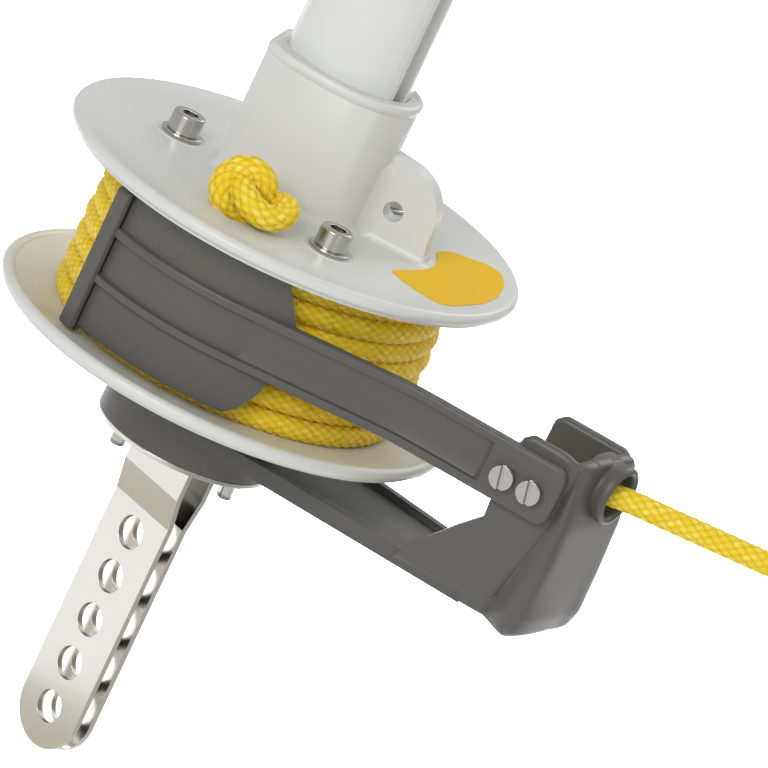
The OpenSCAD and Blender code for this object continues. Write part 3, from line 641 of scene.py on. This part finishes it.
eye_grid = (np.array(eye_place) + eye_run[..., None] * np.array(eye_lead) + eye_reach[..., None] * (
    np.cos(eye_turn)[..., None] * np.array([0, 0, 1.0]) + np.sin(eye_turn)[..., None] * eye_side))
eye = new_piece("fairlead_eye", eye_grid * 0.001, wrap_u=True, wrap_v=True)
dress(eye, grey_plastic, "base", "base_moulding")

# ---- Line guard ---------------------------------------------------------------------------
# A second grey moulding: a curved plate that keeps the line on the drum, with an upright bar at
# its free edge and two ribs that run on without a break as the rims of the arm.
plate_heights = [105.9, 107, 109, 113, 117.6, 134, 144, 144.6]
plate_ends = [-71.5, -69.5, -66.6, -63.5, -61.5, -61, -67.6, -68.2]
plate_loop, _ = outline([(49, 106.8), (51.5, 106.8), (51.5, 144.3), (49, 144.3)], 0.25, 4)
plate_from, plate_until = np.full(len(plate_loop), -121.5), np.interp(plate_loop[:, 1], plate_heights, plate_ends)
share = np.linspace(0, 1, 160)[:, None]
azimuth = np.radians(plate_from * (1 - share) + plate_until * share)
reach = plate_loop[None, :, 0]
plate_grid = np.stack([reach * np.cos(azimuth), reach * np.sin(azimuth),
                       np.broadcast_to(plate_loop[None, :, 1], azimuth.shape)], 2)
plate = new_piece("guard_plate", plate_grid * 0.001, wrap_v=True, caps=True)
dress(plate, grey_plastic, "base", "line_guard")

for mark_azimuth, mark_height in ((-101.5, 138.6), (-101.7, 111.9)):
    mark_turn, mark_round = np.meshgrid(np.linspace(0, 2 * np.pi, 80, endpoint=False),
                                        np.linspace(0, 2 * np.pi, 10, endpoint=False), indexing="ij")
    sideways = (3.6 + 0.22 * np.cos(mark_round)) * np.cos(mark_turn)
    upwards = (3.6 + 0.22 * np.cos(mark_round)) * np.sin(mark_turn)
    azimuth = math.radians(mark_azimuth) + sideways / 51.5
    reach = 51.46 + 0.13 * np.sin(mark_round)
    mark = new_piece("ejector_mark", np.stack([reach * np.cos(azimuth), reach * np.sin(azimuth),
                                               mark_height + upwards], 2) * 0.001, wrap_u=True, wrap_v=True)
    dress(mark, grey_plastic, "base", "line_guard")

bar_loop, _ = outline([(50.2, 105.3), (53.7, 105.3), (53.7, 142.8), (50.2, 142.8)], 0.25, 6)
azimuth = np.radians(np.linspace(-123.9, -118.6, 20))[:, None]
ends = np.array([0.45] + [0] * 18 + [0.45])[:, None]
reach = bar_loop[None, :, 0] - ends * np.sign(bar_loop[None, :, 0] - 52)
bar_grid = np.stack([reach * np.cos(azimuth), reach * np.sin(azimuth),
                     np.broadcast_to(bar_loop[None, :, 1], reach.shape) + 0 * azimuth], 2)
bar = new_piece("guard_bar", bar_grid * 0.001, wrap_v=True, caps=True)
dress(bar, grey_plastic, "base", "line_guard")

arm_route = [(53 * math.cos(math.radians(a)), 53 * math.sin(math.radians(a))) for a in range(-121, -85, 3)] + [
    (8, -52.4), (16, -50.6), (26, -48), (36, -45.4), (46, -42.8), (54, -40.7), (59, -40), (80, -40), (99.5, -40)]
arm_plan, arm_out = outline(arm_route, 0.4, 60, closed=False)
arm_low, arm_high = 118.8, 133.9
along_x = arm_plan[:, 0, None]
recess = (1.75 - 0.35 * soft_step(along_x, 5, 30)) * (1 - soft_step(along_x, 78.6, 80.4))
edge = np.clip(3 - (arm_plan[-1, 0] - along_x), 0, 3)
edge = np.where(arm_plan[:, 1, None] > -41, edge, 0)
squeeze = 3 - np.sqrt(9 - edge**2)
section = []
for inward, share, hollow in [(3, 0, 0), (0.5, 0, 0), (0.1, 0.02, 0), (0, 0.04, 0), (0, 0.12, 0), (0.08, 0.145, 0),
                              (0, 0.165, 0.9), (0, 0.18, 1), (0, 0.5, 1), (0, 0.82, 1), (0, 0.835, 0.9),
                              (0.08, 0.855, 0), (0, 0.88, 0), (0, 0.96, 0), (0.1, 0.98, 0), (0.5, 1, 0), (3, 1, 0)]:
    low, high = arm_low + squeeze, arm_high - squeeze
    height = low + (high - low) * share
    depth = inward + hollow * recess
    section.append(np.concatenate([arm_plan - arm_out * depth, height], 1))
arm_grid = np.stack(section, 1)
arm = new_piece("guard_arm", arm_grid * 0.001, wrap_v=True, caps=True)
dress(arm, grey_plastic, "base", "line_guard")

# ---- Screws, washers and nuts -------------------------------------------------------------
# Bought stainless fasteners: slotted cheese heads at the fairlead, socket caps on the deck, and
# hexagon bolts through the base whose threaded ends show under the nuts.


def machined_steel_material(name, colour, roughness, rings):
    """Turned or rolled stainless: grey, with fine tool marks whose gloss and height waver."""
    material, tree, principled = shader(name, colour, roughness, Metallic=1.0)
    make, link = tree.nodes.new, tree.links.new
    place = make("ShaderNodeTexCoord")
    marks = make("ShaderNodeTexNoise")
    marks.inputs["Scale"].default_value = rings
    marks.inputs["Detail"].default_value = 4
    link(place.outputs["Object"], marks.inputs["Vector"])
    rough = make("ShaderNodeMapRange")
    rough.inputs["To Min"].default_value = roughness * 0.6
    rough.inputs["To Max"].default_value = roughness * 1.6
    link(marks.outputs["Fac"], rough.inputs["Value"])
    link(rough.outputs["Result"], principled.inputs["Roughness"])
    tint = make("ShaderNodeMix")
    tint.data_type = "RGBA"
    tint.inputs["A"].default_value = (*[c * 0.86 for c in colour], 1)
    tint.inputs["B"].default_value = (*[min(1, c * 1.08) for c in colour], 1)
    link(marks.outputs["Fac"], tint.inputs["Factor"])
    link(tint.outputs["Result"], principled.inputs["Base Color"])
    bump = make("ShaderNodeBump")
    bump.inputs["Strength"].default_value = 0.08
    bump.inputs["Distance"].default_value = 0.0001
    link(marks.outputs["Fac"], bump.inputs["Height"])
    link(bump.outputs["Normal"], principled.inputs["Normal"])
    return material


screw_steel = machined_steel_material("screw_steel", (0.56, 0.55, 0.52), 0.2, 1400)
for node in ("guard_screws", "guard_nuts", "base_bolts", "base_washers", "base_nuts", "flange_screws",
             "flange_washers", "flange_nuts", "foil_clamp_screw"):
    dress(eased(node, node + "_bright", 0.0003), screw_steel)

thread_turn, thread_run = np.meshgrid(np.linspace(0, 2 * np.pi, 48, endpoint=False), np.linspace(0, 4.4, 80))
thread_phase = (thread_run / 0.7 - thread_turn / (2 * np.pi)) % 1
thread_reach = (2.02 - 0.3 * np.abs(2 * thread_phase - 1)) * np.where(thread_run < 0.25, 0.82 + 0.7 * thread_run, 1)
for side in (-1, 1):
    centre = turned(side * 15, 0, 69.95, math.radians(9.5))
    thread_grid = np.stack([centre.x + thread_reach * np.cos(thread_turn),
                            centre.y + thread_reach * np.sin(thread_turn),
                            centre.z + thread_run], 2)
    thread = new_piece("bolt_thread", thread_grid * 0.001, wrap_v=True, caps=True)
    dress(thread, screw_steel, "base", "base_bolts")

# ---- Fork plates and head disc ------------------------------------------------------------
# Two strips of 1.6 mm stainless sheet, punched, bent to a joggle and mirror polished, stand
# either side of the stay's fitting. They are welded to a turned disc under the base.


def polished_steel_material():
    """Mirror-polished stainless: bright and slightly warm, with faint straight drag lines from the polishing mop
    along the part and small smears in the gloss; the sheared edges and the punched holes, whose faces look away from
    the plates' own direction, are duller, as unpolished steel is, and have a darker base colour, a painted dark
    reflection."""
    material, tree, principled = shader("polished_steel", (0.74, 0.72, 0.69), 0.1, Metallic=1.0)
    make, link = tree.nodes.new, tree.links.new
    place = make("ShaderNodeTexCoord")
    drag = make("ShaderNodeMapping")
    drag.inputs["Scale"].default_value = (900, 900, 25)
    lines = make("ShaderNodeTexNoise")
    lines.inputs["Scale"].default_value = 1
    lines.inputs["Detail"].default_value = 3
    smears = make("ShaderNodeTexNoise")
    smears.inputs["Scale"].default_value = 70
    smears.inputs["Detail"].default_value = 4
    link(place.outputs["Object"], drag.inputs["Vector"])
    link(drag.outputs["Vector"], lines.inputs["Vector"])
    link(place.outputs["Object"], smears.inputs["Vector"])
    rough = make("ShaderNodeMapRange")
    rough.inputs["To Min"].default_value, rough.inputs["To Max"].default_value = 0.06, 0.2
    link(smears.outputs["Fac"], rough.inputs["Value"])
    facing = make("ShaderNodeVectorMath")
    facing.operation = "DOT_PRODUCT"
    facing.inputs[1].default_value = (0.454, 0.891, 0)
    link(make("ShaderNodeNewGeometry").outputs["True Normal"], facing.inputs[0])
    flat = make("ShaderNodeMath")
    flat.operation = "ABSOLUTE"
    link(facing.outputs["Value"], flat.inputs[0])
    sheared = make("ShaderNodeMapRange")
    sheared.inputs["From Min"].default_value, sheared.inputs["From Max"].default_value = 0.9, 0.6
    link(flat.outputs["Value"], sheared.inputs["Value"])
    edge_rough = make("ShaderNodeMix")
    link(sheared.outputs["Result"], edge_rough.inputs["Factor"])
    link(rough.outputs["Result"], edge_rough.inputs["A"])
    edge_rough.inputs["B"].default_value = 0.34
    link(edge_rough.outputs["Result"], principled.inputs["Roughness"])
    # Painted dark reflection: the sheared edges and hole walls get a darker base colour.
    edge_painted_reflection = make("ShaderNodeMix")
    edge_painted_reflection.data_type = "RGBA"
    link(sheared.outputs["Result"], edge_painted_reflection.inputs["Factor"])
    edge_painted_reflection.inputs["A"].default_value = (0.77, 0.75, 0.72, 1)
    edge_painted_reflection.inputs["B"].default_value = (0.36, 0.35, 0.3, 1)
    link(edge_painted_reflection.outputs["Result"], principled.inputs["Base Color"])
    bump = make("ShaderNodeBump")
    bump.inputs["Strength"].default_value = 0.06
    bump.inputs["Distance"].default_value = 0.0001
    link(lines.outputs["Fac"], bump.inputs["Height"])
    link(bump.outputs["Normal"], principled.inputs["Normal"])
    return material


polished_steel = polished_steel_material()
for node in ("fork_front_plate", "fork_rear_plate", "head_disc"):
    strip = eased(node, node + "_polished", 0.00035)
    for edge in strip.data.edges:
        ends = [strip.data.vertices[index].co for index in edge.vertices]
        if abs(ends[0].z - ends[1].z) < 1e-5 and (ends[0] - ends[1]).length > 0.015:
            edge.use_edge_sharp = True
    dress(strip, polished_steel)

# ---- Drum flanges and hub -----------------------------------------------------------------
# The drum is three white acetal mouldings, drawn together by the deck's screws: a dished lower
# flange, the hub, and the deck with its foil socket and tack lug grown out of it.
white_plastic = moulded_material("white_plastic", (0.64, 0.645, 0.615), 0.34, 1500, 0.00003)
for node in ("lower_flange", "drum_hub", "top_flange"):
    dress(eased(node, node + "_moulded", 0.0007 if node == "top_flange" else 0.0004), white_plastic)

rim_turn = np.linspace(0, 2 * np.pi, 320, endpoint=False)
rim_circle = np.stack([np.cos(rim_turn), np.sin(rim_turn)], 1)
rim_profile = [(50, 148.7), (50, 149.005), (52, 149.01), (54, 149.1), (55.6, 149.24), (57, 149.46), (58.2, 149.6),
               (59.2, 149.4), (59.8, 148.7), (59.99, 147.95), (59.6, 147), (58.6, 146.4), (57, 146.6), (55, 148.5)]
deck_rim = new_piece("deck_rim", swept(0 * rim_circle, rim_circle, rim_profile) * 0.001, wrap_u=True, wrap_v=True)
dress(deck_rim, white_plastic, "drum", "top_flange")

seat_turn, seat_round = np.meshgrid(np.linspace(0, 2 * np.pi, 96, endpoint=False),
                                    np.linspace(0, 2 * np.pi, 10, endpoint=False), indexing="ij")
for azimuth in (186, -54, 66):
    middle_x, middle_y = 33 * math.cos(math.radians(azimuth)), 33 * math.sin(math.radians(azimuth))
    seat_reach = 6.9 + 0.45 * np.cos(seat_round)
    seat = new_piece("screw_seat", np.stack([
        middle_x + seat_reach * np.cos(seat_turn), middle_y + seat_reach * np.sin(seat_turn),
        148.98 + 0.28 * np.sin(seat_round)], 2) * 0.001, wrap_u=True, wrap_v=True)
    dress(seat, white_plastic, "drum", "top_flange")

# ---- Socket rim, socket foot and lug foot -------------------------------------------------
# Parts of the deck's moulding: the socket's mouth is rolled a little outwards, and wide fillets
# run round the foot of the socket and of the lug, and up the corner between them.
drum_turn = math.radians(6)
socket_half = [(1.5 + 16.5 * math.cos(a), 16.5 * math.sin(a)) for a in np.linspace(0, math.pi / 2, 15)] + [
    (-6, 15.9), (-14.5, 13.9), (-21.2, 8.5)]
socket_round, socket_out = outline(socket_half + [(x, -y) for x, y in socket_half[:0:-1]], 0.5, 5)


def on_drum(grid):
    """A grid in mm, turned with the drum's rest position, in metres."""
    turn = np.array([[math.cos(drum_turn), -math.sin(drum_turn), 0], [math.sin(drum_turn), math.cos(drum_turn), 0],
                     [0, 0, 1]])
    return grid @ turn.T * 0.001


rolled = [(-1.3, 181), (-1.75, 182.6), (-1.5, 183.5), (-1, 183.75), (-0.2, 183.7), (0.3, 183.3), (0.5, 182.7),
          (0.45, 181.9), (0.15, 181.3), (0, 180.9), (-0.4, 180.5), (-1, 180.4)]
socket_rim = new_piece("socket_rim", on_drum(swept(socket_round, socket_out, rolled)), wrap_u=True, wrap_v=True)
dress(socket_rim, white_plastic, "drum", "top_flange")


def foot_fillet(name, points, normals, size):
    """A concave quarter round between a wall that stands on the deck and the deck's face."""
    bend = np.linspace(0, math.pi / 2, 9)
    curve = [(size * (1 - math.sin(a)), 148.98 + size * (1 - math.cos(a))) for a in bend]
    curve = curve + [(-0.6, 148.98 + size), (-0.6, 148.5), (size, 148.5)]
    piece = new_piece(name, on_drum(swept(points, normals, curve)), wrap_u=True, wrap_v=True)
    dress(piece, white_plastic, "drum", "top_flange")


foot_fillet("socket_foot", socket_round, socket_out, 2.6)
lug_plan, lug_out = outline([(10, -3.5), (35.6, -3.5), (35.6, 3.5), (10, 3.5)], 0.4, 6)
foot_fillet("lug_foot", lug_plan, lug_out, 1.7)
for side in (-1, 1):
    share, height = np.meshgrid(np.linspace(0, 1, 14), np.linspace(148.9, 169.8, 40), indexing="ij")
    fade = 1 - soft_step(height, 165.5, 169.8)
    from_x, from_y = 17.3 - 2.7 * fade, 3.6 + 6.3 * fade
    to_x = 17.5 + 3.1 * fade
    x = (1 - share) ** 2 * from_x + 2 * share * (1 - share) * (17.5 - 0.3 * fade) + share**2 * to_x
    y = (1 - share) ** 2 * from_y + 2 * share * (1 - share) * (3.6 + 0.9 * fade) + share**2 * 3.52
    corner = np.stack([x, side * y, height], 2)
    back = np.stack([np.full(height.shape[1], 14.0), np.full(height.shape[1], side * 2.0), height[0]], 1)
    corner_fillet = new_piece("lug_corner", on_drum(np.concatenate([corner, back[None]], 0).transpose(1, 0, 2)),
                              wrap_v=True, caps=True)
    dress(corner_fillet, white_plastic, "drum", "top_flange")

# ---- Foil ---------------------------------------------------------------------------------
# A length of the headsail foil: extruded rigid PVC, cream white and glossy, sawn square at the
# top. It drops into the socket; the luff grooves run up its tail.
foil_plastic = moulded_material("foil_plastic", (0.68, 0.69, 0.66), 0.22, 900, 0.00002)
dress(eased("foil", "foil_extruded", 0.0003), foil_plastic)

# ---- Size label ---------------------------------------------------------------------------
# A printed vinyl label on the deck, cut to fit round the foot of the lug and left blank here.
label_plastic = moulded_material("label_yellow", (0.78, 0.48, 0.004), 0.5, 1200, 0.00002, specular=0.12)
label_route = [(31.2, -19.7), (34.9, -11.5), (37.4, -5.6), (37.9, 2.5), (36.9, 7.5), (35.3, 12.5), (38.1, 18.1),
               (42.8, 20.3), (47.4, 22.8), (51.2, 21.3), (54.2, 12.9), (55.2, 2), (54, -8.7), (48.9, -22.6),
               (45.9, -25.9), (40.7, -24.9), (35.5, -23)]
label_plan, label_out = outline(label_route, 0.35, 12)
label_grid = swept(label_plan, label_out, [(-0.05, 149.26), (0, 149.2), (0, 149)])
label_middle = np.broadcast_to(np.append(label_plan.mean(0), 149.26), (len(label_plan), 1, 3))
label_grid = np.concatenate([label_middle * 0.7 + label_grid[:, :1] * 0.3, label_grid], 1)
label = new_piece("size_label", on_drum(label_grid.transpose(1, 0, 2)[::-1]), wrap_v=True, caps=True)
dress(label, label_plastic, "drum", "size_sticker")

# ---- Spindle and bearings -----------------------------------------------------------------
# Hidden inside the drum: a turned spindle tube with two caged ball races, a spacer and a wire
# circlip. They keep their CAD form.
turned_steel = machined_steel_material("turned_steel", (0.62, 0.62, 0.63), 0.28, 900)
for node in ("spindle", "bearing_spacer", "lower_inner_race", "upper_inner_race", "lower_outer_race",
             "upper_outer_race", "spindle_circlip"):
    nodes[node].data.materials.clear()
    nodes[node].data.materials.append(turned_steel)
for node in ("lower_bearing_balls", "upper_bearing_balls", "lower_ball_cage", "upper_ball_cage"):
    nodes[node].data.materials.clear()
    nodes[node].data.materials.append(foil_plastic)
